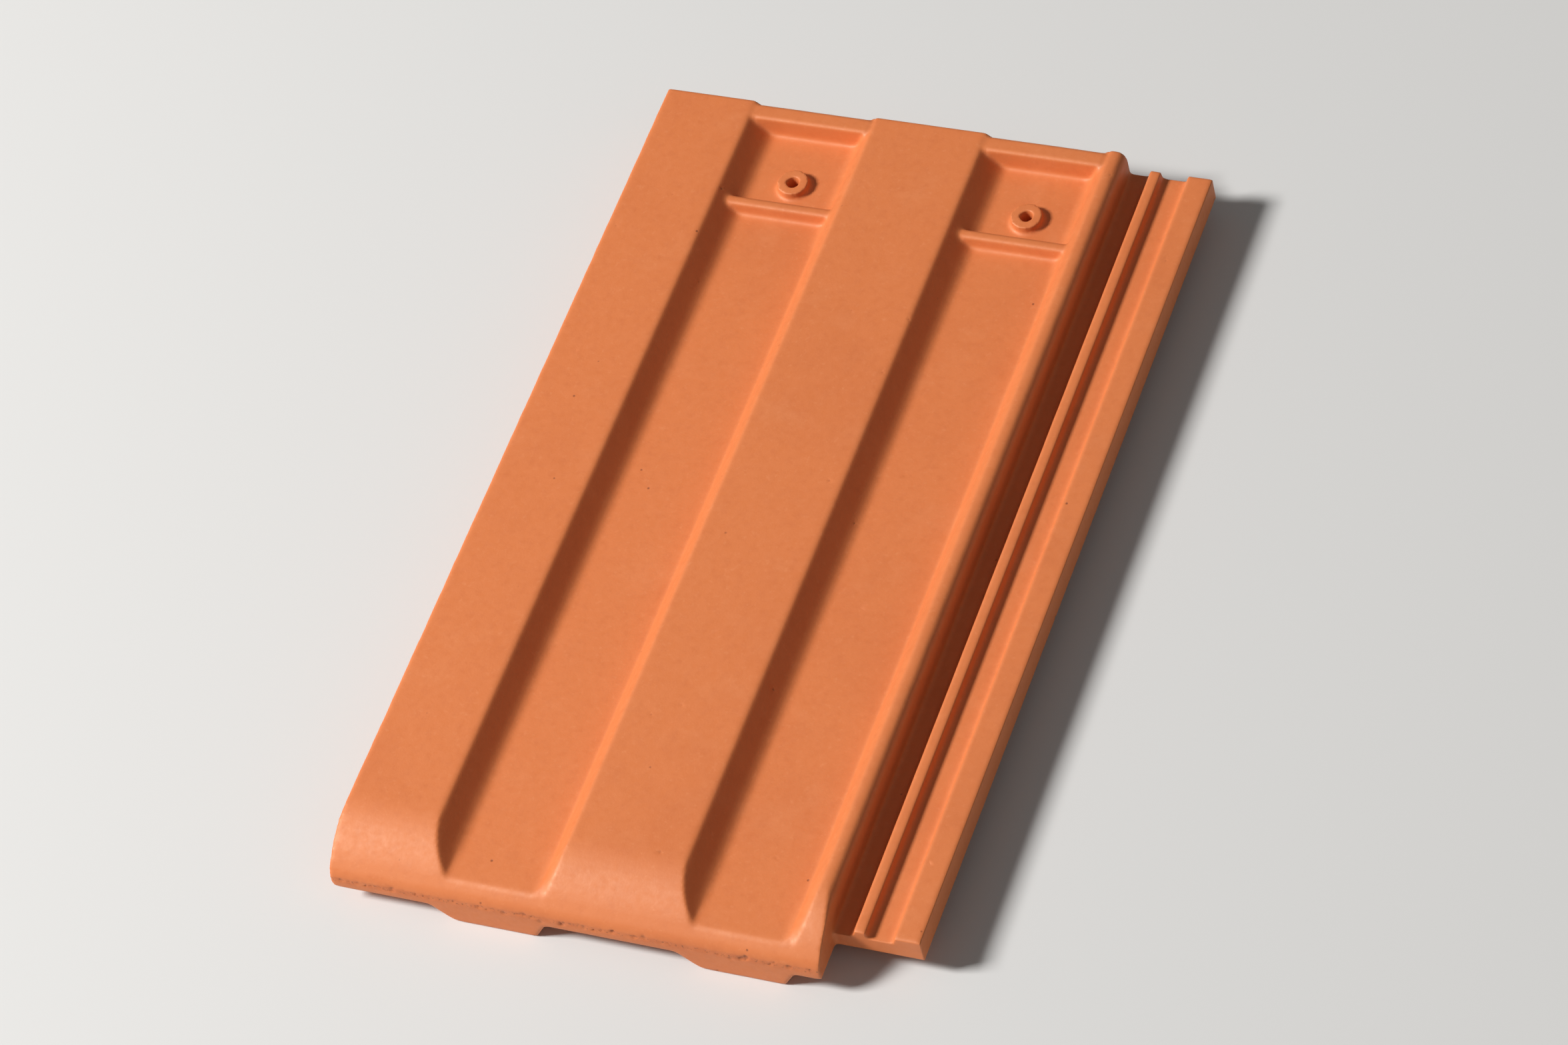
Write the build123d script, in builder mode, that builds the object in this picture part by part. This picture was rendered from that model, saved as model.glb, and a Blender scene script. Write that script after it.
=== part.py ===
from build123d import *
import os
from math import atan2, cos, radians, sin, tan

# A pressed and fired clay roof tile with two pans between raised crowns.
# X runs across the course, Y runs up the roof slope from nose to head, Z is up.
# It lies on its two pan lips and its two hanging nibs at Z = 0.
# All sizes are millimetres. A station is measured across from the left edge,
# and a run is measured up the slope from the nose.

# Overall sizes
length = 465
cover_width = 240  # from one tile to the next in the same course
course_gauge = 370  # from one course to the next, up the slope
wall = 12

# Cross-section of the weathered face
pan_count = 2
pan_height = 25  # pan surface above the resting plane
relief = 10.5  # crown surface above pan surface
first_crown_width = 47  # from the left edge to the first drop
drop_run = 10.2  # slope from a crown down to the pan on its right
pan_floor = 45.2
rise_run = 6  # slope from a pan up to the crown on its right
left_edge_radius = 2
crown_edge_radius = 3.5
drop_foot_radius = 9
rise_foot_radius = 6
rise_crest_radius = 5
shoulder_radius = 5
inner_radius = 3  # corners of the underside

# Nose, as seen from the side
parting_height = 16  # where the two halves of the mould met
parting_tilt = radians(80)  # slope of the front at the parting line, from level
front_radius = 11
break_tilt = radians(45)  # where the front curve meets the long nose curve
lip_depth = 18
pan_lip_gap = 0.5  # lip over the pan of the course below
lip_drop_gap = 0.8  # lip beside the drop of the course below
lip_rise_gap = 3.5  # lip beside the rise of the course below
lip_corner_radius = 2.5

# Side lock: a flap with two tongues on the left, a channel with two ribs on the right
joint_gap = 1.8
flap_thickness = 9.5
outer_tongue_width = 7
inner_tongue_width = 10.5
tongue_height = 4.5
inner_rib_width = 5.5
outer_rib_width = 12.5
lock_clearance = 1.5
lock_headroom = 1.5
lock_draft = 1  # lean of each side of a tongue or rib
channel_clearance = 1  # channel underside over the crown of the course below

# Head lock: dams across each pan, and a rib under each pan that drops between them
rear_dam_depth = 12
rear_dam_below_crown = 0.5
front_dam_run = 402
front_dam_depth = 8
front_dam_height = 6
foot_rib_depth = 10
foot_rib_clearance = 3  # under the foot rib, over the pan of the course below
foot_rib_setback = 5  # from the rear dam of the course below
dam_draft = 1.5
dam_seat = 1.5  # how far a dam is let into the pan, and into the crown at each end

# Hanging nibs and nail holes
nib_width = 30
nib_depth = 18
nib_chamfer = 4
nail_hole_radius = 3
nail_hole_run = 423
collar_radius = 8
collar_height = 4

# Heights that follow
crown_height = pan_height + relief
course_rise = pan_height + pan_lip_gap
crown_lip_height = crown_height - course_rise
pan_underside = pan_height - wall
crown_underside = crown_height - wall
mid_wall = pan_height - wall / 2
dam_root = pan_height - dam_seat
flap_underside = crown_height - flap_thickness
tongue_bottom = flap_underside - tongue_height
rib_top = flap_underside - lock_headroom
groove_floor = tongue_bottom - lock_headroom
channel_underside = crown_lip_height + channel_clearance
foot_rib_bottom = foot_rib_clearance - pan_lip_gap

# Stations that follow
pitch = cover_width / pan_count
drop_foot = first_crown_width + drop_run
rise_foot = drop_foot + pan_floor
rise_top = rise_foot + rise_run
shoulder = cover_width - joint_gap
inner_rib_left = outer_tongue_width + lock_clearance
inner_rib_right = inner_rib_left + inner_rib_width
inner_tongue_left = inner_rib_right + lock_clearance
inner_tongue_right = inner_tongue_left + inner_tongue_width
outer_rib_left = inner_tongue_right + lock_clearance
outer_rib_right = outer_rib_left + outer_rib_width
flap_width = outer_rib_right + lock_clearance
width = cover_width + outer_rib_right
last_pan = (pan_count - 1) * pitch

# Corners of the underside, moved so that the wall stays even through each slope
drop_shift = wall * tan(atan2(relief, drop_run) / 2)
rise_shift = wall * tan(atan2(relief, rise_run) / 2)

# Runs that follow
front_rise = front_radius * (cos(break_tilt) - cos(parting_tilt))
front_run = front_radius * (sin(parting_tilt) - sin(break_tilt))
nose_rise = crown_height - parting_height - front_rise
nose_run = nose_rise / tan(break_tilt / 2)
rear_dam_run = length - rear_dam_depth
foot_rib_run = rear_dam_run - foot_rib_setback - foot_rib_depth - course_gauge
channel_setback = lip_depth + lock_clearance
nib_run = length - nib_depth
dams = [
    (front_dam_run, front_dam_depth, pan_height + front_dam_height),
    (rear_dam_run, rear_dam_depth, crown_height - rear_dam_below_crown),
]

# Places in the tile's own frame
left = -width / 2
front = -length / 2
back = length / 2
beyond = 20  # how far a cut runs past the clay


def corner(station, height, radius=0):
    return (left + station, height), radius


def outline(corners):
    """Close a line through the corners, each rounded by its own radius, and fill it."""
    with BuildLine() as loop:
        FilletPolyline(*[place for place, _ in corners], radius=[r for _, r in corners], close=True)
    make_face(loop.edges())


def weathered_face():
    """Corners of the upper face, from the left edge to the right shoulder."""
    corners = [corner(0, crown_height, left_edge_radius)]
    for k in range(pan_count):
        start = k * pitch
        corners += [
            corner(start + first_crown_width, crown_height, crown_edge_radius),
            corner(start + drop_foot, pan_height, drop_foot_radius),
            corner(start + rise_foot, pan_height, rise_foot_radius),
            corner(start + rise_top, crown_height, rise_crest_radius),
        ]
    corners.append(corner(shoulder, crown_height, shoulder_radius))
    return corners


def channel():
    """Corners of the two grooves and two ribs that lie under the next tile's flap."""
    return [
        corner(shoulder, groove_floor),
        corner(cover_width + inner_rib_left - lock_draft, groove_floor),
        corner(cover_width + inner_rib_left, rib_top),
        corner(cover_width + inner_rib_right, rib_top),
        corner(cover_width + inner_rib_right + lock_draft, groove_floor),
        corner(cover_width + outer_rib_left - lock_draft, groove_floor),
        corner(cover_width + outer_rib_left, rib_top),
        corner(cover_width + outer_rib_right, rib_top),
        corner(cover_width + outer_rib_right, channel_underside),
    ]


def underside():
    """Corners of the lower face, from the channel back to the flap."""
    corners = [
        corner(last_pan + rise_foot + rise_shift + lock_clearance, channel_underside),
        corner(last_pan + rise_foot + rise_shift, pan_underside),
    ]
    for k in reversed(range(pan_count - 1)):
        start = k * pitch
        corners += [
            corner(start + pitch + drop_foot - drop_shift, pan_underside, inner_radius),
            corner(start + pitch + first_crown_width - drop_shift, crown_underside, inner_radius),
            corner(start + rise_top + rise_shift, crown_underside, inner_radius),
            corner(start + rise_foot + rise_shift, pan_underside, inner_radius),
        ]
    corners.append(corner(flap_width, pan_underside, inner_radius))
    return corners


def flap():
    """Corners of the two tongues under the first crown, out to the left edge."""
    return [
        corner(flap_width, flap_underside),
        corner(inner_tongue_right, flap_underside),
        corner(inner_tongue_right - lock_draft, tongue_bottom),
        corner(inner_tongue_left + lock_draft, tongue_bottom),
        corner(inner_tongue_left, flap_underside),
        corner(outer_tongue_width, flap_underside),
        corner(outer_tongue_width - lock_draft, tongue_bottom),
        corner(0, tongue_bottom),
    ]


def lip_edge():
    """Corners of the lip's lower edge, which follows the course below, from right to left."""
    corners = [corner(shoulder, crown_lip_height, lip_corner_radius)]
    for k in reversed(range(pan_count)):
        start = k * pitch
        corners += [
            corner(start + rise_top - lip_rise_gap, crown_lip_height, lip_corner_radius),
            corner(start + rise_foot - lip_rise_gap, 0, lip_corner_radius),
            corner(start + drop_foot + lip_drop_gap, 0, drop_foot_radius),
            corner(start + first_crown_width + lip_drop_gap, crown_lip_height, lip_corner_radius),
        ]
    corners.append(corner(0, crown_lip_height, lip_corner_radius))
    return corners


def pan_wedge(start, bottom):
    """Corners of a block under one pan that fits between the crowns of the course below."""
    return [
        corner(start + drop_foot + lip_drop_gap, bottom, lip_corner_radius),
        corner(start + rise_foot - lip_rise_gap, bottom, lip_corner_radius),
        corner(start + rise_foot + rise_shift, mid_wall),
        corner(start + drop_foot - drop_shift, mid_wall),
    ]


with BuildPart() as roof_tile:
    # Body: the cross-section pressed along the whole length
    with BuildSketch(Plane.XZ.offset(-back)):
        outline(weathered_face() + channel() + underside() + flap())
    extrude(amount=length)

    # The channel starts behind the lip of the tile beside it
    with BuildSketch(Plane.XY):
        with Locations((left + shoulder, front - beyond)):
            Rectangle(width, channel_setback + beyond, align=Align.MIN)
    extrude(amount=crown_height + beyond, mode=Mode.SUBTRACT)

    # Lip under the nose
    with BuildSketch(Plane.XZ.offset(-front - lip_depth)):
        outline(weathered_face() + lip_edge())
    extrude(amount=lip_depth)

    # Nose: a steep front curve, then a long one that runs out level in the crowns
    with BuildSketch(Plane.YZ.offset(left - beyond)):
        parting = Vector(front, parting_height)
        curve_break = parting + Vector(front_run, front_rise)
        curve_end = curve_break + Vector(nose_run, nose_rise)
        with BuildLine():
            Line((front, -beyond), parting)
            TangentArc(parting, curve_break, tangent=(cos(parting_tilt), sin(parting_tilt)))
            TangentArc(curve_break, curve_end, tangent=(cos(break_tilt), sin(break_tilt)))
            Polyline(
                curve_end,
                (curve_end.X, crown_height + beyond),
                (front - beyond, crown_height + beyond),
                (front - beyond, -beyond),
                (front, -beyond),
            )
        make_face()
    extrude(amount=width + 2 * beyond, mode=Mode.SUBTRACT)

    # Lock under the pans, dams across them and nibs at the head
    for k in range(pan_count):
        with BuildSketch(Plane.XZ.offset(-front - foot_rib_run - foot_rib_depth)):
            outline(pan_wedge(k * pitch, foot_rib_bottom))
        extrude(amount=foot_rib_depth)
        for run, depth, top in dams:
            with BuildSketch(Plane.YZ.offset(left + k * pitch + first_crown_width - dam_seat)):
                with BuildLine():
                    FilletPolyline(
                        (front + run, dam_root),
                        (front + run, pan_height),
                        (front + run + dam_draft, top),
                        (front + run + depth - dam_draft, top),
                        (front + run + depth, pan_height),
                        (front + run + depth, dam_root),
                        radius=[0, 0, dam_draft, dam_draft, 0, 0],
                        close=True,
                    )
                make_face()
            extrude(amount=rise_top - first_crown_width + 2 * dam_seat)
        pan_centre = left + k * pitch + drop_foot + pan_floor / 2
        with BuildSketch(Plane.YZ.offset(pan_centre - nib_width / 2)):
            with BuildLine():
                Polyline(
                    (front + nib_run, mid_wall),
                    (front + nib_run, 0),
                    (back - nib_chamfer, 0),
                    (back, nib_chamfer),
                    (back, mid_wall),
                    close=True,
                )
            make_face()
        extrude(amount=nib_width)
        with BuildSketch(Plane.XY.offset(mid_wall)):
            with Locations((pan_centre, front + nail_hole_run)):
                Circle(collar_radius)
        extrude(amount=pan_height + collar_height - mid_wall)
        with Locations((pan_centre, front + nail_hole_run, pan_height)):
            Hole(nail_hole_radius)

roof_tile.part.label = "roof_tile"
os.makedirs("parts", exist_ok=True)
export_step(roof_tile.part, "parts/roof_tile.step")
print("solids", len(roof_tile.part.solids()), "valid", roof_tile.part.is_valid)
print("size", roof_tile.part.bounding_box().size, "volume", roof_tile.part.volume)
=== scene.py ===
import random
from math import atan2, cos, radians, sin, tan

import bpy
import numpy as np
from bpy.props import FloatProperty, FloatVectorProperty, IntProperty, PointerProperty
from bpy.types import Operator, Panel, PropertyGroup
from mathutils import Matrix, Vector, kdtree, noise


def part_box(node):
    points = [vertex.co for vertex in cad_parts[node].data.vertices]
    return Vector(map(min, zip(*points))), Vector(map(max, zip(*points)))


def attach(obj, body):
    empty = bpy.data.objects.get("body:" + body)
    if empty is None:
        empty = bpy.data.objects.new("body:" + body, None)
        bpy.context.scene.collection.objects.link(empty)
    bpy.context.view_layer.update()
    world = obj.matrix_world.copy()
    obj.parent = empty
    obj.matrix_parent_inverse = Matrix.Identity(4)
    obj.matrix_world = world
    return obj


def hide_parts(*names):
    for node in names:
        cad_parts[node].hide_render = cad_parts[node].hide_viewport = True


bl_info = {
    "name": "Clay Roof Tile",
    "version": (1, 0, 0),
    "blender": (4, 5, 0),
    "location": "View3D > Sidebar > Roof Tile",
    "description": "Fires a pressed clay roof tile from its frame and sets it in a plain studio",
    "category": "Add Mesh",
}

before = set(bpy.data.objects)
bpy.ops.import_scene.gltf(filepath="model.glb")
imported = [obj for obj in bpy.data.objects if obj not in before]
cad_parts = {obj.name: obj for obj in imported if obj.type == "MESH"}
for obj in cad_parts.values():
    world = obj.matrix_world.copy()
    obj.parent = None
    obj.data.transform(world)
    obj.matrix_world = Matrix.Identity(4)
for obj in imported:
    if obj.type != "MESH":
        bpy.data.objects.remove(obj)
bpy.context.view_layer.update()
CAD_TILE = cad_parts["roof_tile"]
LOW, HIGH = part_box("roof_tile")
MIDDLE = (LOW + HIGH) / 2
MM = 0.001

# The weathered face, with stations measured from the left edge and runs from the nose
SHOULDER = 238.2 * MM
PITCH = 120 * MM
PAN_HEIGHT = 25 * MM
RELIEF = 10.5 * MM
DROP_FOOT = 57.2 * MM
DROP_WIDTH = 10.2 * MM
DROP_SLOPE = atan2(RELIEF, DROP_WIDTH)
DROP_ROUND = 9 * MM
RISE_FOOT = 102.4 * MM
RISE_WIDTH = 6 * MM
RISE_SLOPE = atan2(RELIEF, RISE_WIDTH)
RISE_ROUND = 6 * MM
DAM_RUN = 402 * MM

# The nose, from the parting line up through its steep curve and its long one
PARTING_HEIGHT = 16 * MM
PARTING_TILT = radians(80)
FRONT_ROUND = 11 * MM
BREAK_TILT = radians(45)
BREAK_RUN = FRONT_ROUND * (sin(PARTING_TILT) - sin(BREAK_TILT))
BREAK_HEIGHT = PARTING_HEIGHT + FRONT_ROUND * (cos(BREAK_TILT) - cos(PARTING_TILT))
NOSE_ROUND = (PAN_HEIGHT + RELIEF - BREAK_HEIGHT) / (1 - cos(BREAK_TILT))

# Where each change to the pressed face starts or ends, first in runs and then in heights over the pan
DROP_CORNER_END = (8 * MM, 28 * MM)
RISE_CORNER_START = (10 * MM, 35 * MM)
RISE_CORNER_END = (DAM_RUN - 20 * MM, DAM_RUN - 4 * MM)
FRONT_END = (9 * MM, 14 * MM)
PAN_END = (0, 4 * MM)
RISE_START = (0, 3 * MM)
RISE_END = (RELIEF - 2 * MM, RELIEF + 4 * MM)

# How round the drops' corners are against the rises', and how much of the steep curve the pans have
DROP_CORNER_SHARE = 1.5
PAN_FRONT_SHARE = 0.25

# How soft the nose's edge is along the pans, and elsewhere, as shares of its softness along the rises
PAN_EDGE_SHARE = 0.22
LEAST_EDGE_SHARE = 0.01

# How near the face a vertex counts as on it, and how deep a full weight presses
FACE_REACH = 1 * MM
MOST_PRESS = 2 * MM

# The warp sets in between these heights, and leaves the lips and nibs that the tile stands on in place
WARP_START = (5 * MM, 25 * MM)

# Lump sizes of the clouds that dent the tile
WARP_LUMP = 160 * MM
HOLLOW_LUMP = 22 * MM
SMALL_HOLLOW_LUMP = 4 * MM
SEAM_LUMP = 3 * MM
NIBBLE_LUMP = 8 * MM

# The depth of the small hollows against the others', and the cloud level that leaves a thin edge in place
SMALL_HOLLOW_SHARE = 0.3
NIBBLE_LEVEL = 0.8

# Clouds are grey more often than black, so the seam and the thin edges get their depth this many times
CLOUD_FACTOR = 2

# Pits, with radii in millimetres and depths as shares of the deepest
SMALL_PIT = (0.5, 0.9)
SMALL_PIT_SHARE = 0.8
LARGE_PIT = (1.0, 1.7)
LOOSE_PIT = (0.5, 1.0)
ROW_PIT_DEPTHS = (0.3, 1)
LOOSE_PIT_DEPTHS = (0.3, 0.7)

# The row of pits, with its height over the parting line and its spread in millimetres
ROW_HEIGHT = -0.1
ROW_SPREAD = 0.9
ROW_LEAN = 0.25

# The ragged outline and the wall of a pit
PIT_REACH = 1.6
PIT_WOBBLE = 0.35
WOBBLES_PER_METRE = 900
PIT_WALL_POWER = 0.8

# The parting seam, and the thin upper edges on the left and at the shoulder
SEAM_FULL_RUN = 3 * MM
SEAM_END_RUN = 6 * MM
SEAM_REACH = 0.9 * MM
SEAM_TINT_REACH = 2.4 * MM
THIN_EDGE_START = (27 * MM, 31 * MM)
THIN_EDGE_REACH = 1.6 * MM

# The reach that merges the frame's loose triangles, and the least weight that a vertex group keeps
MERGE_REACH = 1e-6
LEAST_WEIGHT = 0.004

# The shine of the fired skin, and how much smoother and rougher than usual it gets
GLOSS = 0.8
GLOSS_TINT = (1, 0.92, 0.74, 1)
SMOOTHER = 0.05
ROUGHER = 0.08

# How far specks and crumbs hide the clay, and how quickly the crumbs thin out from the seam's core
SPECK_COVER = 0.7
CRUMB_POWER = 5

# The height of the ripples and the depth of specks and crumbs, as shares of the grain's height
RIPPLE_SHARE = 1.6
SPECK_SHARE = 1.5

# The studio, with each lamp on a line from the middle of the tile
KEY_LINE = (-0.667, -0.30, 0.667)
KEY_DISTANCE = 5.0
KEY_SIDE = 1.1
FILL_LINE = (0.8, -0.4, 0.7)
FILL_DISTANCE = 4.0
FILL_SIDE = 2.5
FLOOR_SIDE = 30
FLOOR_ROUGHNESS = 0.9
VIEW_END = 100
FILM_MM = 36


class ClayProperties(PropertyGroup):
    """Colours and finish of the fired clay"""
    clay: FloatVectorProperty(
        name="Clay", description="Fired clay of the plain faces",
        subtype="COLOR", size=3, min=0, max=1, default=(0.715, 0.194, 0.056))
    pale_clay: FloatVectorProperty(
        name="Pale clay", description="Lighter scuffs and flecks in the clay",
        subtype="COLOR", size=3, min=0, max=1, default=(0.80, 0.27, 0.105))
    dark_clay: FloatVectorProperty(
        name="Dark clay", description="Darker and redder clouds in the clay",
        subtype="COLOR", size=3, min=0, max=1, default=(0.61, 0.150, 0.042))
    # Real burnt specks and crumbs, and also the painted shade inside the pits
    burnt_and_pit_shade: FloatVectorProperty(
        name="Burnt clay", description="Specks, crumbs and the inside of pits",
        subtype="COLOR", size=3, min=0, max=1, default=(0.16, 0.036, 0.014))
    roughness: FloatProperty(
        name="Roughness", description="Roughness of the fired skin", min=0, max=1, default=0.56)
    grain: FloatProperty(
        name="Grain", description="Height of the fine grain",
        subtype="DISTANCE", unit="LENGTH", min=0, max=0.001, precision=5, default=0.00004)


class TileProperties(PropertyGroup):
    """Sizes of what pressing, firing and wear do to the tile"""
    voxel: FloatProperty(
        name="Voxel", description="Mesh spacing that the tile is shaped at",
        subtype="DISTANCE", unit="LENGTH", min=0.0008, max=0.005, precision=5, default=0.001)
    edge_rounds: IntProperty(
        name="Edge rounds", description="Passes that soften the pressed edges", min=0, max=30, default=3)
    rise_rounds: IntProperty(
        name="Rise rounds", description="Passes that soften the edge between the nose and each rise",
        min=0, max=60, default=24)
    sharp_round: FloatProperty(
        name="Sharp round", description="Radius of the corners along the feet of the rises",
        subtype="DISTANCE", unit="LENGTH", min=0.0005, max=0.006, precision=5, default=0.0025)
    soft_edge: FloatProperty(
        name="Soft edge", description="Height over which the nose and the rises run into each other",
        subtype="DISTANCE", unit="LENGTH", min=0.0005, max=0.008, precision=5, default=0.006)
    warp: FloatProperty(
        name="Warp", description="Depth of the long warp from drying and firing",
        subtype="DISTANCE", unit="LENGTH", min=0, max=0.003, precision=5, default=0.0006)
    unevenness: FloatProperty(
        name="Unevenness", description="Depth of the shallow hollows that the press leaves",
        subtype="DISTANCE", unit="LENGTH", min=0, max=0.002, precision=5, default=0.00022)
    pit_depth: FloatProperty(
        name="Pit depth", description="Depth of the deepest pits along the parting line",
        subtype="DISTANCE", unit="LENGTH", min=0, max=0.003, precision=5, default=0.0008)
    seam_depth: FloatProperty(
        name="Seam depth", description="Usual depth of the ragged parting seam",
        subtype="DISTANCE", unit="LENGTH", min=0, max=0.002, precision=5, default=0.00022)
    edge_wear: FloatProperty(
        name="Edge wear", description="Depth of the nibbled places along the thin edges",
        subtype="DISTANCE", unit="LENGTH", min=0, max=0.002, precision=5, default=0.00022)
    pits: IntProperty(
        name="Pits", description="Pits along the parting line of the nose", min=0, max=400, default=60)
    loose_pits: IntProperty(
        name="Loose pits", description="Small pits scattered over the faces", min=0, max=400, default=70)
    triangles: IntProperty(
        name="Triangles", description="Most triangles in the finished tile",
        min=1000, max=199000, default=185000)
    seed: IntProperty(name="Seed", description="Seed of the pits' places", min=0, default=7)


class StageProperties(PropertyGroup):
    """Floor, light and camera of the studio"""
    floor: FloatVectorProperty(
        name="Floor", description="Colour of the plain floor",
        subtype="COLOR", size=3, min=0, max=1, default=(0.70, 0.69, 0.67))
    key: FloatProperty(
        name="Key lamp", description="Power of the main lamp",
        subtype="POWER", unit="POWER", min=0, default=326)
    fill: FloatProperty(
        name="Fill lamp", description="Power of the soft lamp opposite",
        subtype="POWER", unit="POWER", min=0, default=6)
    sky: FloatProperty(
        name="Room light", description="Strength of the even light of the room", min=0, max=2, default=0.125)
    azimuth: FloatProperty(
        name="Azimuth", description="Camera's turn round the tile",
        subtype="ANGLE", unit="ROTATION", default=radians(32.575))
    elevation: FloatProperty(
        name="Elevation", description="Camera's height above the horizon",
        subtype="ANGLE", unit="ROTATION", default=radians(50.765))
    roll: FloatProperty(
        name="Roll", description="Camera's turn about its own line of sight",
        subtype="ANGLE", unit="ROTATION", default=radians(-16.883))
    distance: FloatProperty(
        name="Distance", description="Camera to the middle of the tile",
        subtype="DISTANCE", unit="LENGTH", min=0.1, default=2.75)
    lens: FloatProperty(
        name="Lens", description="Focal length on a 36 mm frame",
        subtype="DISTANCE_CAMERA", min=1, default=136)


def only(obj):
    """Make one object the only one selected, and the active one."""
    bpy.ops.object.select_all(action="DESELECT")
    obj.select_set(True)
    bpy.context.view_layer.objects.active = obj


def apply_modifier(obj, kind, **settings):
    """Add a modifier, set it and apply it at once."""
    only(obj)
    modifier = obj.modifiers.new(kind.lower(), kind)
    for name, value in settings.items():
        setattr(modifier, name, value)
    bpy.ops.object.modifier_apply(modifier=modifier.name)


def points(obj):
    """The place of every vertex, one row each."""
    co = np.empty(len(obj.data.vertices) * 3, np.float32)
    obj.data.vertices.foreach_get("co", co)
    return co.reshape(-1, 3).astype(float)


def weigh(obj, name, weights):
    """Store a weight for each vertex as a vertex group, leaving out the vertices that have next to none."""
    group = obj.vertex_groups.new(name=name)
    for i in np.flatnonzero(weights > LEAST_WEIGHT):
        group.add([int(i)], float(weights[i]), "REPLACE")


def mark(obj, name, values):
    """Store a value for each vertex as an attribute, which the clay reads."""
    layer = obj.data.attributes.new(name, "FLOAT", "POINT")
    layer.data.foreach_set("value", values.astype(np.float32))


def dent(obj, name, lump, depth, mid_level=1.0, direction="NORMAL", group=""):
    """Sink the surface unevenly by clouds of the given lump size, in one vertex group if it is named."""
    clouds = bpy.data.textures.new(name, "CLOUDS")
    clouds.noise_scale = lump
    clouds.noise_depth = 2
    clouds.noise_basis = "ORIGINAL_PERLIN"
    apply_modifier(obj, "DISPLACE", texture=clouds, texture_coords="LOCAL", direction=direction,
                   strength=depth, mid_level=mid_level, vertex_group=group)


def smoothstep(x, low, high):
    """Rise smoothly from 0 at the low value to 1 at the high one."""
    t = np.clip((x - low) / (high - low), 0, 1)
    return t * t * (3 - 2 * t)


def foot(climb, slope, radius):
    """Height over the pan at a distance from the foot of a slope, whose corner has the given radius."""
    tangent = radius * tan(slope / 2)
    curve = radius - np.sqrt(radius ** 2 - np.clip(climb + tangent, 0, radius) ** 2)
    return np.where(climb < tangent * cos(slope), curve, climb * tan(slope))


def arch(run, start, height, tilt, radius):
    """Height of a curve that starts with a tilt, flattens out and stays level."""
    middle = start + radius * sin(tilt)
    return height - radius * cos(tilt) + np.sqrt(radius ** 2 - np.clip(middle - run, 0, radius) ** 2)


def section(drop_foot, rise_foot):
    """Height of the pressed section, from how high each slope stands over its foot."""
    return PAN_HEIGHT + np.minimum(RELIEF, drop_foot + rise_foot)


def press(co, sharp, soft):
    """How far below the frame's face each vertex is pressed, and how near it is to the edge of a rise.

    The drops have a sharp foot at the nose and the rises have one behind it, the steep curve of the nose
    runs on into the pans, and the nose meets the pans and the rises in soft edges.
    """
    station = (co[:, 0] - LOW.x) % PITCH
    run = co[:, 1] - LOW.y
    drop = DROP_FOOT - station
    rise = station - RISE_FOOT
    drop_foot = foot(drop, DROP_SLOPE, DROP_ROUND)
    rise_foot = foot(rise, RISE_SLOPE, RISE_ROUND)
    front = arch(run, 0, PARTING_HEIGHT, PARTING_TILT, FRONT_ROUND)
    nose = np.where(run < BREAK_RUN, front, arch(run, BREAK_RUN, BREAK_HEIGHT, BREAK_TILT, NOSE_ROUND))
    height = np.minimum(section(drop_foot, rise_foot), nose)

    at_nose = 1 - smoothstep(run, *DROP_CORNER_END)
    behind_nose = smoothstep(run, *RISE_CORNER_START) * (1 - smoothstep(run, *RISE_CORNER_END))
    in_pan = 1 - smoothstep(drop_foot + rise_foot, *PAN_END)
    at_front = 1 - smoothstep(run, *FRONT_END)
    on_rise = smoothstep(rise_foot, *RISE_START) * (1 - smoothstep(rise_foot, *RISE_END))
    new_section = section(
        drop_foot + at_nose * (foot(drop, DROP_SLOPE, DROP_CORNER_SHARE * sharp) - drop_foot),
        rise_foot + behind_nose * (foot(rise, RISE_SLOPE, sharp) - rise_foot))
    new_nose = nose + PAN_FRONT_SHARE * in_pan * at_front * (front - nose)

    # The lower of the two, sunk a little more where they come within reach of each other
    reach = soft * np.maximum(np.maximum(on_rise, PAN_EDGE_SHARE * in_pan), LEAST_EDGE_SHARE)
    near = np.maximum(reach - np.abs(new_section - new_nose), 0) / reach
    new_height = np.minimum(new_section, new_nose) - near ** 2 * reach / 4
    on_face = (np.abs(co[:, 2] - height) < FACE_REACH) & (co[:, 0] < LOW.x + SHOULDER)
    return np.where(on_face, height - new_height, 0), np.where(on_face, near * on_rise, 0)


def nose_pits(count, rng):
    """Pits in a ragged row along the parting line, each with its centre, radius and share of the depth."""
    pits = []
    for _ in range(count):
        rise = rng.gauss(ROW_HEIGHT, ROW_SPREAD) * MM
        centre = (LOW.x + rng.uniform(0, SHOULDER), LOW.y + max(0.0, ROW_LEAN * rise), PARTING_HEIGHT + rise)
        radii = SMALL_PIT if rng.random() < SMALL_PIT_SHARE else LARGE_PIT
        radius = rng.uniform(*radii) * MM
        pits.append((centre, radius, rng.uniform(*ROW_PIT_DEPTHS)))
    return pits


def loose_pits(count, rng, co):
    """Small pits anywhere on the surface, each with its centre, radius and share of the depth."""
    pits = []
    for _ in range(count):
        centre = co[rng.randrange(len(co))]
        radius = rng.uniform(*LOOSE_PIT) * MM
        pits.append((centre, radius, rng.uniform(*LOOSE_PIT_DEPTHS)))
    return pits


def hollow(co, pits):
    """How deep each vertex sits in the pits, from 0 to 1."""
    tree = kdtree.KDTree(len(co))
    for i, place in enumerate(co):
        tree.insert(place, i)
    tree.balance()
    depth = np.zeros(len(co))
    for centre, radius, share in pits:
        for place, i, gap in tree.find_range(centre, PIT_REACH * radius):
            wobble = 1 + PIT_WOBBLE * noise.noise(place * WOBBLES_PER_METRE)
            t = gap / (radius * wobble)
            depth[i] = max(depth[i], share * max(0.0, 1 - t * t) ** PIT_WALL_POWER)
    return depth


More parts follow.
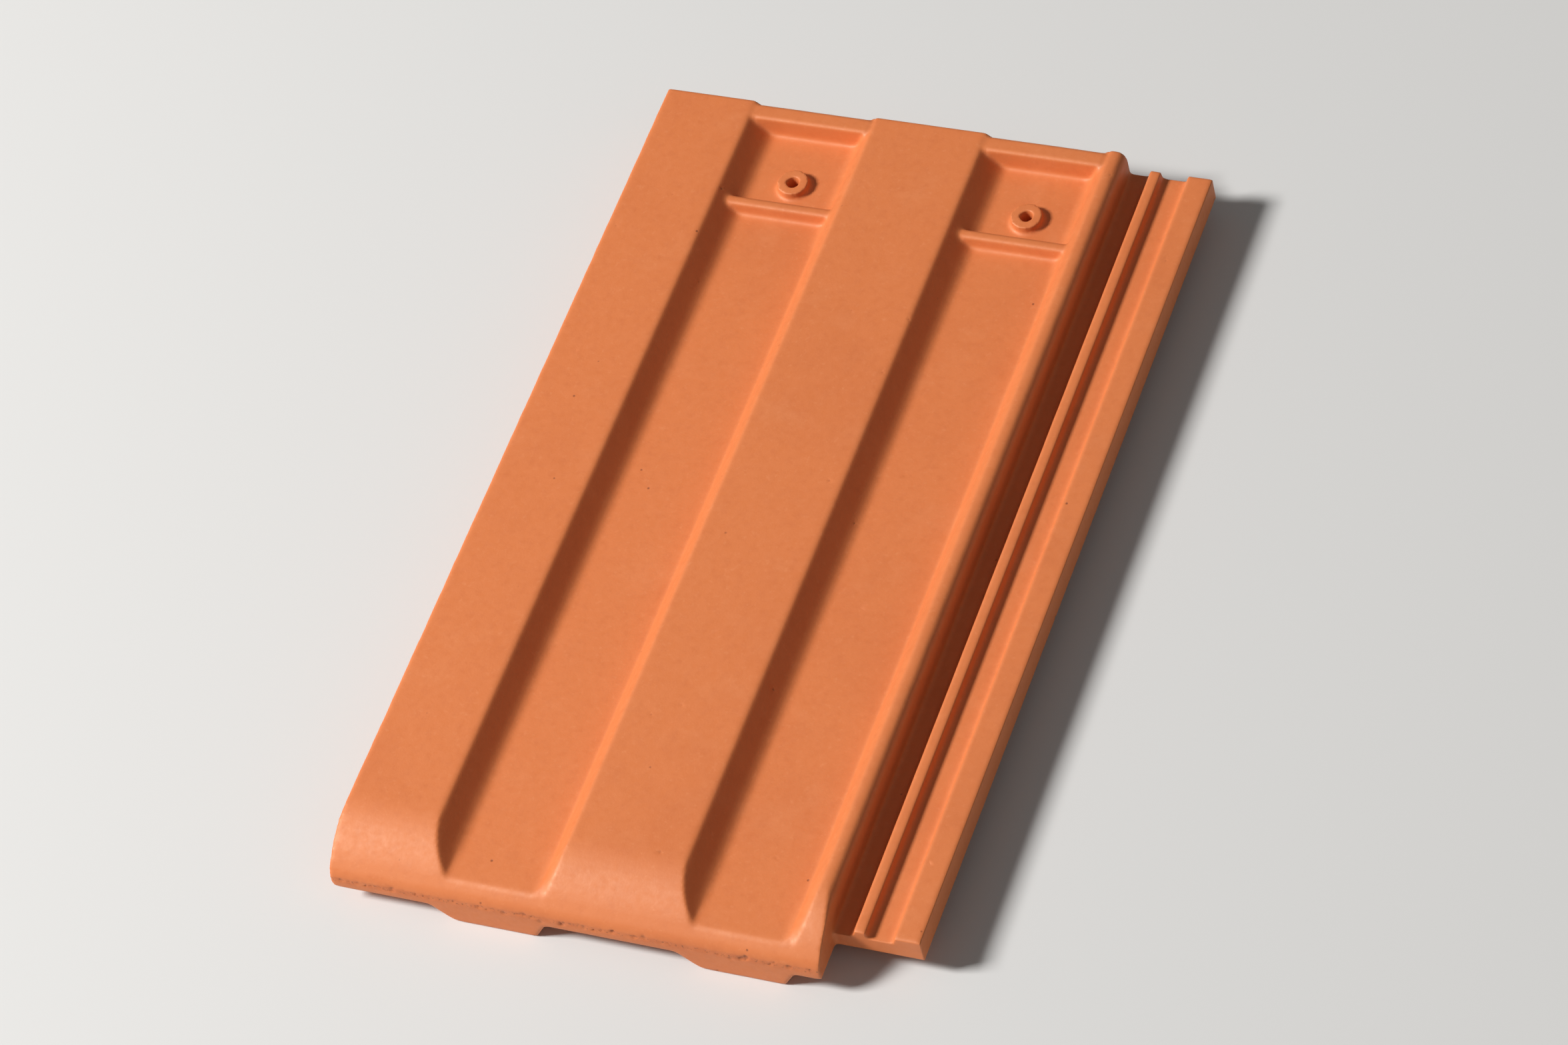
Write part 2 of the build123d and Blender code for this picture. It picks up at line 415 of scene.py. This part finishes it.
def seam(co, reach):
    """How near each vertex of the nose is to the parting line, from 0 to 1."""
    in_front = smoothstep(-co[:, 1], -LOW.y - SEAM_END_RUN, -LOW.y - SEAM_FULL_RUN)
    return in_front * np.exp(-((co[:, 2] - PARTING_HEIGHT) / reach) ** 2)


def thin_edges(co):
    """How near each vertex is to the upper edge of the tile's left side or of its shoulder, from 0 to 1."""
    upper = smoothstep(co[:, 2], *THIN_EDGE_START)
    near = [np.exp(-((co[:, 0] - x) / THIN_EDGE_REACH) ** 2) for x in (LOW.x, LOW.x + SHOULDER)]
    return upper * np.maximum(*near)


def mesh_tile(tile, size):
    """Merge the frame's loose triangles and mesh the solid evenly."""
    only(tile)
    bpy.ops.object.mode_set(mode="EDIT")
    bpy.ops.mesh.select_all(action="SELECT")
    bpy.ops.mesh.remove_doubles(threshold=MERGE_REACH)
    bpy.ops.object.mode_set(mode="OBJECT")
    apply_modifier(tile, "REMESH", mode="VOXEL", voxel_size=size.voxel, adaptivity=0)


def press_tile(tile, size):
    """Press the face down where it lies below the frame's, and soften the edges."""
    depth, rise_edge = press(points(tile), size.sharp_round, size.soft_edge)
    weigh(tile, "press", depth / MOST_PRESS)
    weigh(tile, "rise edge", rise_edge)
    apply_modifier(tile, "DISPLACE", direction="Z", strength=-MOST_PRESS, mid_level=0, vertex_group="press")
    apply_modifier(tile, "SMOOTH", factor=0.5, iterations=size.rise_rounds, vertex_group="rise edge")
    apply_modifier(tile, "SMOOTH", factor=0.5, iterations=size.edge_rounds)


def warp_tile(tile, size):
    """Warp the tile as drying and firing do, and leave the press's shallow hollows in it."""
    weigh(tile, "free", smoothstep(points(tile)[:, 2], *WARP_START))
    dent(tile, "warp", WARP_LUMP, size.warp, direction="Z", group="free")
    dent(tile, "press hollows", HOLLOW_LUMP, size.unevenness)
    dent(tile, "small hollows", SMALL_HOLLOW_LUMP, SMALL_HOLLOW_SHARE * size.unevenness)


def wear_tile(tile, size, pits):
    """Roughen the seam, nibble the thin edges and sink the pits."""
    co = points(tile)
    weigh(tile, "pits", hollow(co, pits))
    weigh(tile, "seam", seam(co, SEAM_REACH))
    weigh(tile, "thin edges", thin_edges(co))
    dent(tile, "seam", SEAM_LUMP, CLOUD_FACTOR * size.seam_depth, group="seam")
    dent(tile, "nibbled edge", NIBBLE_LUMP, CLOUD_FACTOR * size.edge_wear,
         mid_level=NIBBLE_LEVEL, group="thin edges")
    apply_modifier(tile, "DISPLACE", direction="NORMAL", strength=-size.pit_depth, mid_level=0,
                   vertex_group="pits")


def thin_mesh(tile, most):
    """Thin the mesh to the given number of triangles, if it has more."""
    triangles = sum(len(polygon.vertices) - 2 for polygon in tile.data.polygons)
    if triangles > most:
        apply_modifier(tile, "DECIMATE", ratio=most / triangles, use_collapse_triangulate=True)


class ROOFTILE_OT_tile(Operator):
    """Shape the fired tile from the frame, with soft edges, a parting seam and pits"""
    bl_idname = "rooftile.tile"
    bl_label = "Clay Tile"

    def execute(self, context):
        size = context.scene.rooftile_tile
        tile = bpy.data.objects.new("clay_tile", CAD_TILE.data.copy())
        context.scene.collection.objects.link(tile)
        tile.data.materials.clear()
        mesh_tile(tile, size)
        press_tile(tile, size)
        warp_tile(tile, size)
        rng = random.Random(size.seed)
        pits = nose_pits(size.pits, rng) + loose_pits(size.loose_pits, rng, points(tile))
        wear_tile(tile, size, pits)
        thin_mesh(tile, size.triangles)

        # A mark can't have the name of a vertex group, so the groups go first
        tile.vertex_groups.clear()
        co = points(tile)
        # The depth in the pits, which the clay turns into painted shade
        mark(tile, "pit", hollow(co, pits))
        mark(tile, "seam", seam(co, SEAM_TINT_REACH))
        only(tile)
        bpy.ops.object.shade_smooth()
        tile.data.materials.append(fired_clay(context.scene.rooftile_clay))
        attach(tile, "root")
        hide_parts("roof_tile")
        return {"FINISHED"}


class Clay:
    """The nodes of one clay material, with short ways to add and join them."""

    def __init__(self, name):
        self.material = bpy.data.materials.new(name)
        self.material.use_nodes = True
        self.tree = self.material.node_tree
        self.shader = self.tree.nodes["Principled BSDF"]
        self.place = self.add("ShaderNodeTexCoord").outputs["Object"]

    def add(self, kind, **settings):
        """Add a node and set its own values."""
        node = self.tree.nodes.new(kind)
        for name, value in settings.items():
            setattr(node, name, value)
        return node

    def join(self, source, target):
        """Link an output to an input."""
        self.tree.links.new(source, target)

    def mark(self, name):
        """The value that the mesh has stored under a name."""
        return self.add("ShaderNodeAttribute", attribute_name=name).outputs["Fac"]

    def stretched(self, scale):
        """The place on the tile, times a scale for each axis."""
        mapping = self.add("ShaderNodeMapping")
        self.join(self.place, mapping.inputs["Vector"])
        mapping.inputs["Scale"].default_value = scale
        return mapping.outputs["Vector"]

    def noise(self, lump, detail, roughness=0.5, place=None):
        """Noise whose lumps are about the given size."""
        node = self.add("ShaderNodeTexNoise")
        self.join(place or self.place, node.inputs["Vector"])
        node.inputs["Scale"].default_value = 1 / lump
        node.inputs["Detail"].default_value = detail
        node.inputs["Roughness"].default_value = roughness
        return node.outputs["Fac"]

    def cells(self, width):
        """Distance from the nearest of many scattered points, as a share of the cells' width."""
        node = self.add("ShaderNodeTexVoronoi", feature="F1")
        self.join(self.place, node.inputs["Vector"])
        node.inputs["Scale"].default_value = 1 / width
        return node.outputs["Distance"]

    def band(self, value, low, high, start=0.0, end=1.0):
        """Spread a value between low and high over the range from start to end."""
        node = self.add("ShaderNodeMapRange", clamp=True)
        self.join(value, node.inputs["Value"])
        for name, number in (("From Min", low), ("From Max", high), ("To Min", start), ("To Max", end)):
            node.inputs[name].default_value = number
        return node.outputs["Result"]

    def reckon(self, operation, a, b):
        """Reckon with two values, where the second may be a plain number."""
        node = self.add("ShaderNodeMath", operation=operation)
        self.join(a, node.inputs[0])
        if isinstance(b, bpy.types.NodeSocket):
            self.join(b, node.inputs[1])
        else:
            node.inputs[1].default_value = b
        return node.outputs["Value"]

    def blend(self, share, under, over):
        """Lay a colour over another by a share."""
        node = self.add("ShaderNodeMix", data_type="RGBA")
        self.join(share, node.inputs[0])
        for socket, colour in ((node.inputs[6], under), (node.inputs[7], over)):
            if isinstance(colour, bpy.types.NodeSocket):
                self.join(colour, socket)
            else:
                socket.default_value = (*colour, 1)
        return node.outputs[2]


def clouded_clay(clay, look):
    """The plain clay under broad clouds, scuffs, mottles and flecks.

    Each layer has its lumps, the band of them that shows, how much it hides at most, and its colour.
    """
    layers = (
        (clay.noise(60 * MM, detail=4, roughness=0.6), (0.50, 0.75), 0.4, look.dark_clay),
        (clay.noise(32 * MM, detail=4, roughness=0.65, place=clay.stretched((0.9, 1.1, 1))),
         (0.54, 0.78), 0.3, look.pale_clay),
        (clay.noise(4.5 * MM, detail=3, roughness=0.6), (0.5, 0.8), 0.4, look.dark_clay),
        (clay.noise(2.4 * MM, detail=2, roughness=0.6), (0.60, 0.82), 0.4, look.pale_clay),
    )
    colour = look.clay
    for lumps, (low, high), most, tint in layers:
        colour = clay.blend(clay.band(lumps, low, high, end=most), colour, tint)
    return colour


def burnt_specks(clay):
    """A small dot in some of many cells."""
    dots = clay.band(clay.cells(11 * MM), low=0.035, high=0.075, start=1, end=0)
    picked = clay.band(clay.noise(12 * MM, detail=1), low=0.61, high=0.64)
    return clay.reckon("MULTIPLY", dots, picked)


def seam_crumbs(clay, seam_line):
    """Fine crumbs in the core of the seam."""
    core = clay.reckon("POWER", seam_line, CRUMB_POWER)
    lumps = clay.band(clay.noise(1.6 * MM, detail=3, roughness=0.6), low=0.54, high=0.66)
    return clay.reckon("MULTIPLY", core, lumps)


def seam_patches(clay, seam_line):
    """Uneven darkening along the seam."""
    patches = clay.band(clay.noise(5 * MM, detail=2), low=0.4, high=0.6, start=0.2, end=0.8)
    return clay.reckon("MULTIPLY", seam_line, patches)


def clay_relief(clay, specks, crumbs):
    """Fine grain over shallow ripples, with the specks and crumbs sunk in it."""
    grain = clay.noise(1.1 * MM, detail=3, roughness=0.65)
    ripples = clay.reckon("MULTIPLY", clay.noise(6 * MM, detail=2), RIPPLE_SHARE)
    sunk = clay.reckon("MULTIPLY", clay.reckon("ADD", specks, crumbs), SPECK_SHARE)
    return clay.reckon("SUBTRACT", clay.reckon("ADD", grain, ripples), sunk)


def fired_clay(look):
    """The clay of the tile, clouded and speckled, with dark crumbs and darker patches along its seam, and
    painted shade in its pits.
    """
    clay = Clay("fired clay")
    seam_line = clay.mark("seam")
    specks = burnt_specks(clay)
    crumbs = seam_crumbs(clay, seam_line)
    # Painted shade: each pit gets darker the deeper it is
    pit_shade = clay.band(clay.mark("pit"), low=0.05, high=0.75, end=0.75)

    colour = clouded_clay(clay, look)
    colour = clay.blend(clay.reckon("MULTIPLY", specks, SPECK_COVER), colour, look.burnt_and_pit_shade)
    colour = clay.blend(seam_patches(clay, seam_line), colour, look.dark_clay)
    colour = clay.blend(clay.reckon("MULTIPLY", crumbs, SPECK_COVER), colour, look.burnt_and_pit_shade)
    colour = clay.blend(pit_shade, colour, look.burnt_and_pit_shade)
    clay.join(colour, clay.shader.inputs["Base Color"])

    skin = clay.band(clay.noise(3 * MM, detail=3), low=0.3, high=0.7,
                     start=look.roughness - SMOOTHER, end=look.roughness + ROUGHER)
    clay.join(skin, clay.shader.inputs["Roughness"])
    clay.shader.inputs["Specular IOR Level"].default_value = GLOSS
    clay.shader.inputs["Specular Tint"].default_value = GLOSS_TINT

    bump = clay.add("ShaderNodeBump")
    bump.inputs["Strength"].default_value = 1
    bump.inputs["Distance"].default_value = look.grain
    clay.join(clay_relief(clay, specks, crumbs), bump.inputs["Height"])
    clay.join(bump.outputs["Normal"], clay.shader.inputs["Normal"])
    return clay.material


def floor_paint(colour):
    """Plain matt paint for the floor."""
    material = bpy.data.materials.new("studio floor")
    material.use_nodes = True
    shader = material.node_tree.nodes["Principled BSDF"]
    shader.inputs["Base Color"].default_value = (*colour, 1)
    shader.inputs["Roughness"].default_value = FLOOR_ROUGHNESS
    return material


def lay_floor(look):
    """Lay a wide plain floor under the tile."""
    bpy.ops.object.select_all(action="DESELECT")
    bpy.ops.mesh.primitive_plane_add(size=FLOOR_SIDE)
    floor = bpy.context.object
    floor.name = "studio_floor"
    floor.data.materials.append(floor_paint(look.floor))


def hang_lamp(name, line, distance, side, power):
    """Hang a square soft lamp on a line from the middle of the tile, facing back along it."""
    data = bpy.data.lights.new(name, "AREA")
    data.size = side
    data.energy = power
    lamp = bpy.data.objects.new(name, data)
    line = Vector(line).normalized()
    lamp.location = MIDDLE + line * distance
    lamp.rotation_euler = line.to_track_quat("Z", "Y").to_euler()
    bpy.context.scene.collection.objects.link(lamp)


def light_room(scene, strength):
    """Light the whole room evenly in white."""
    world = bpy.data.worlds.new("studio room")
    world.use_nodes = True
    background = world.node_tree.nodes["Background"]
    background.inputs["Color"].default_value = (1, 1, 1, 1)
    background.inputs["Strength"].default_value = strength
    scene.world = world


def set_camera(scene, look):
    """Set the camera at its angles round the middle of the tile, turned about its own line of sight."""
    data = bpy.data.cameras.new("camera")
    data.sensor_width = FILM_MM
    data.lens = look.lens
    data.clip_end = VIEW_END
    camera = bpy.data.objects.new("camera", data)
    line = Vector((
        sin(look.azimuth) * cos(look.elevation),
        -cos(look.azimuth) * cos(look.elevation),
        sin(look.elevation)))
    turn = line.to_track_quat("Z", "Y").to_matrix() @ Matrix.Rotation(look.roll, 3, "Z")
    camera.matrix_world = Matrix.Translation(MIDDLE + line * look.distance) @ turn.to_4x4()
    scene.collection.objects.link(camera)
    scene.camera = camera


class ROOFTILE_OT_stage(Operator):
    """Lay the floor, hang the lamps and set the camera"""
    bl_idname = "rooftile.stage"
    bl_label = "Studio"

    def execute(self, context):
        scene = context.scene
        look = scene.rooftile_stage
        lay_floor(look)
        hang_lamp("key lamp", KEY_LINE, KEY_DISTANCE, KEY_SIDE, look.key)
        hang_lamp("fill lamp", FILL_LINE, FILL_DISTANCE, FILL_SIDE, look.fill)
        light_room(scene, look.sky)
        scene.view_settings.view_transform = "Standard"
        set_camera(scene, look)
        return {"FINISHED"}


class ROOFTILE_PT_panel(Panel):
    """The tile, its clay and the studio"""
    bl_idname = "ROOFTILE_PT_panel"
    bl_label = "Clay Roof Tile"
    bl_space_type = "VIEW_3D"
    bl_region_type = "UI"
    bl_category = "Roof Tile"

    def draw(self, context):
        scene = context.scene
        for operator, groups in (
                ("rooftile.tile", (scene.rooftile_tile, scene.rooftile_clay)),
                ("rooftile.stage", (scene.rooftile_stage,))):
            box = self.layout.box()
            box.operator(operator)
            for group in groups:
                for name in group.__annotations__:
                    box.prop(group, name)


CLASSES = (
    ClayProperties,
    TileProperties,
    StageProperties,
    ROOFTILE_OT_tile,
    ROOFTILE_OT_stage,
    ROOFTILE_PT_panel,
)


def register():
    for cls in CLASSES:
        bpy.utils.register_class(cls)
    bpy.types.Scene.rooftile_clay = PointerProperty(type=ClayProperties)
    bpy.types.Scene.rooftile_tile = PointerProperty(type=TileProperties)
    bpy.types.Scene.rooftile_stage = PointerProperty(type=StageProperties)


def unregister():
    for name in ("rooftile_clay", "rooftile_tile", "rooftile_stage"):
        delattr(bpy.types.Scene, name)
    for cls in reversed(CLASSES):
        bpy.utils.unregister_class(cls)


def main():
    register()
    bpy.ops.rooftile.tile()
    bpy.ops.rooftile.stage()


if __name__ == "__main__":
    main()
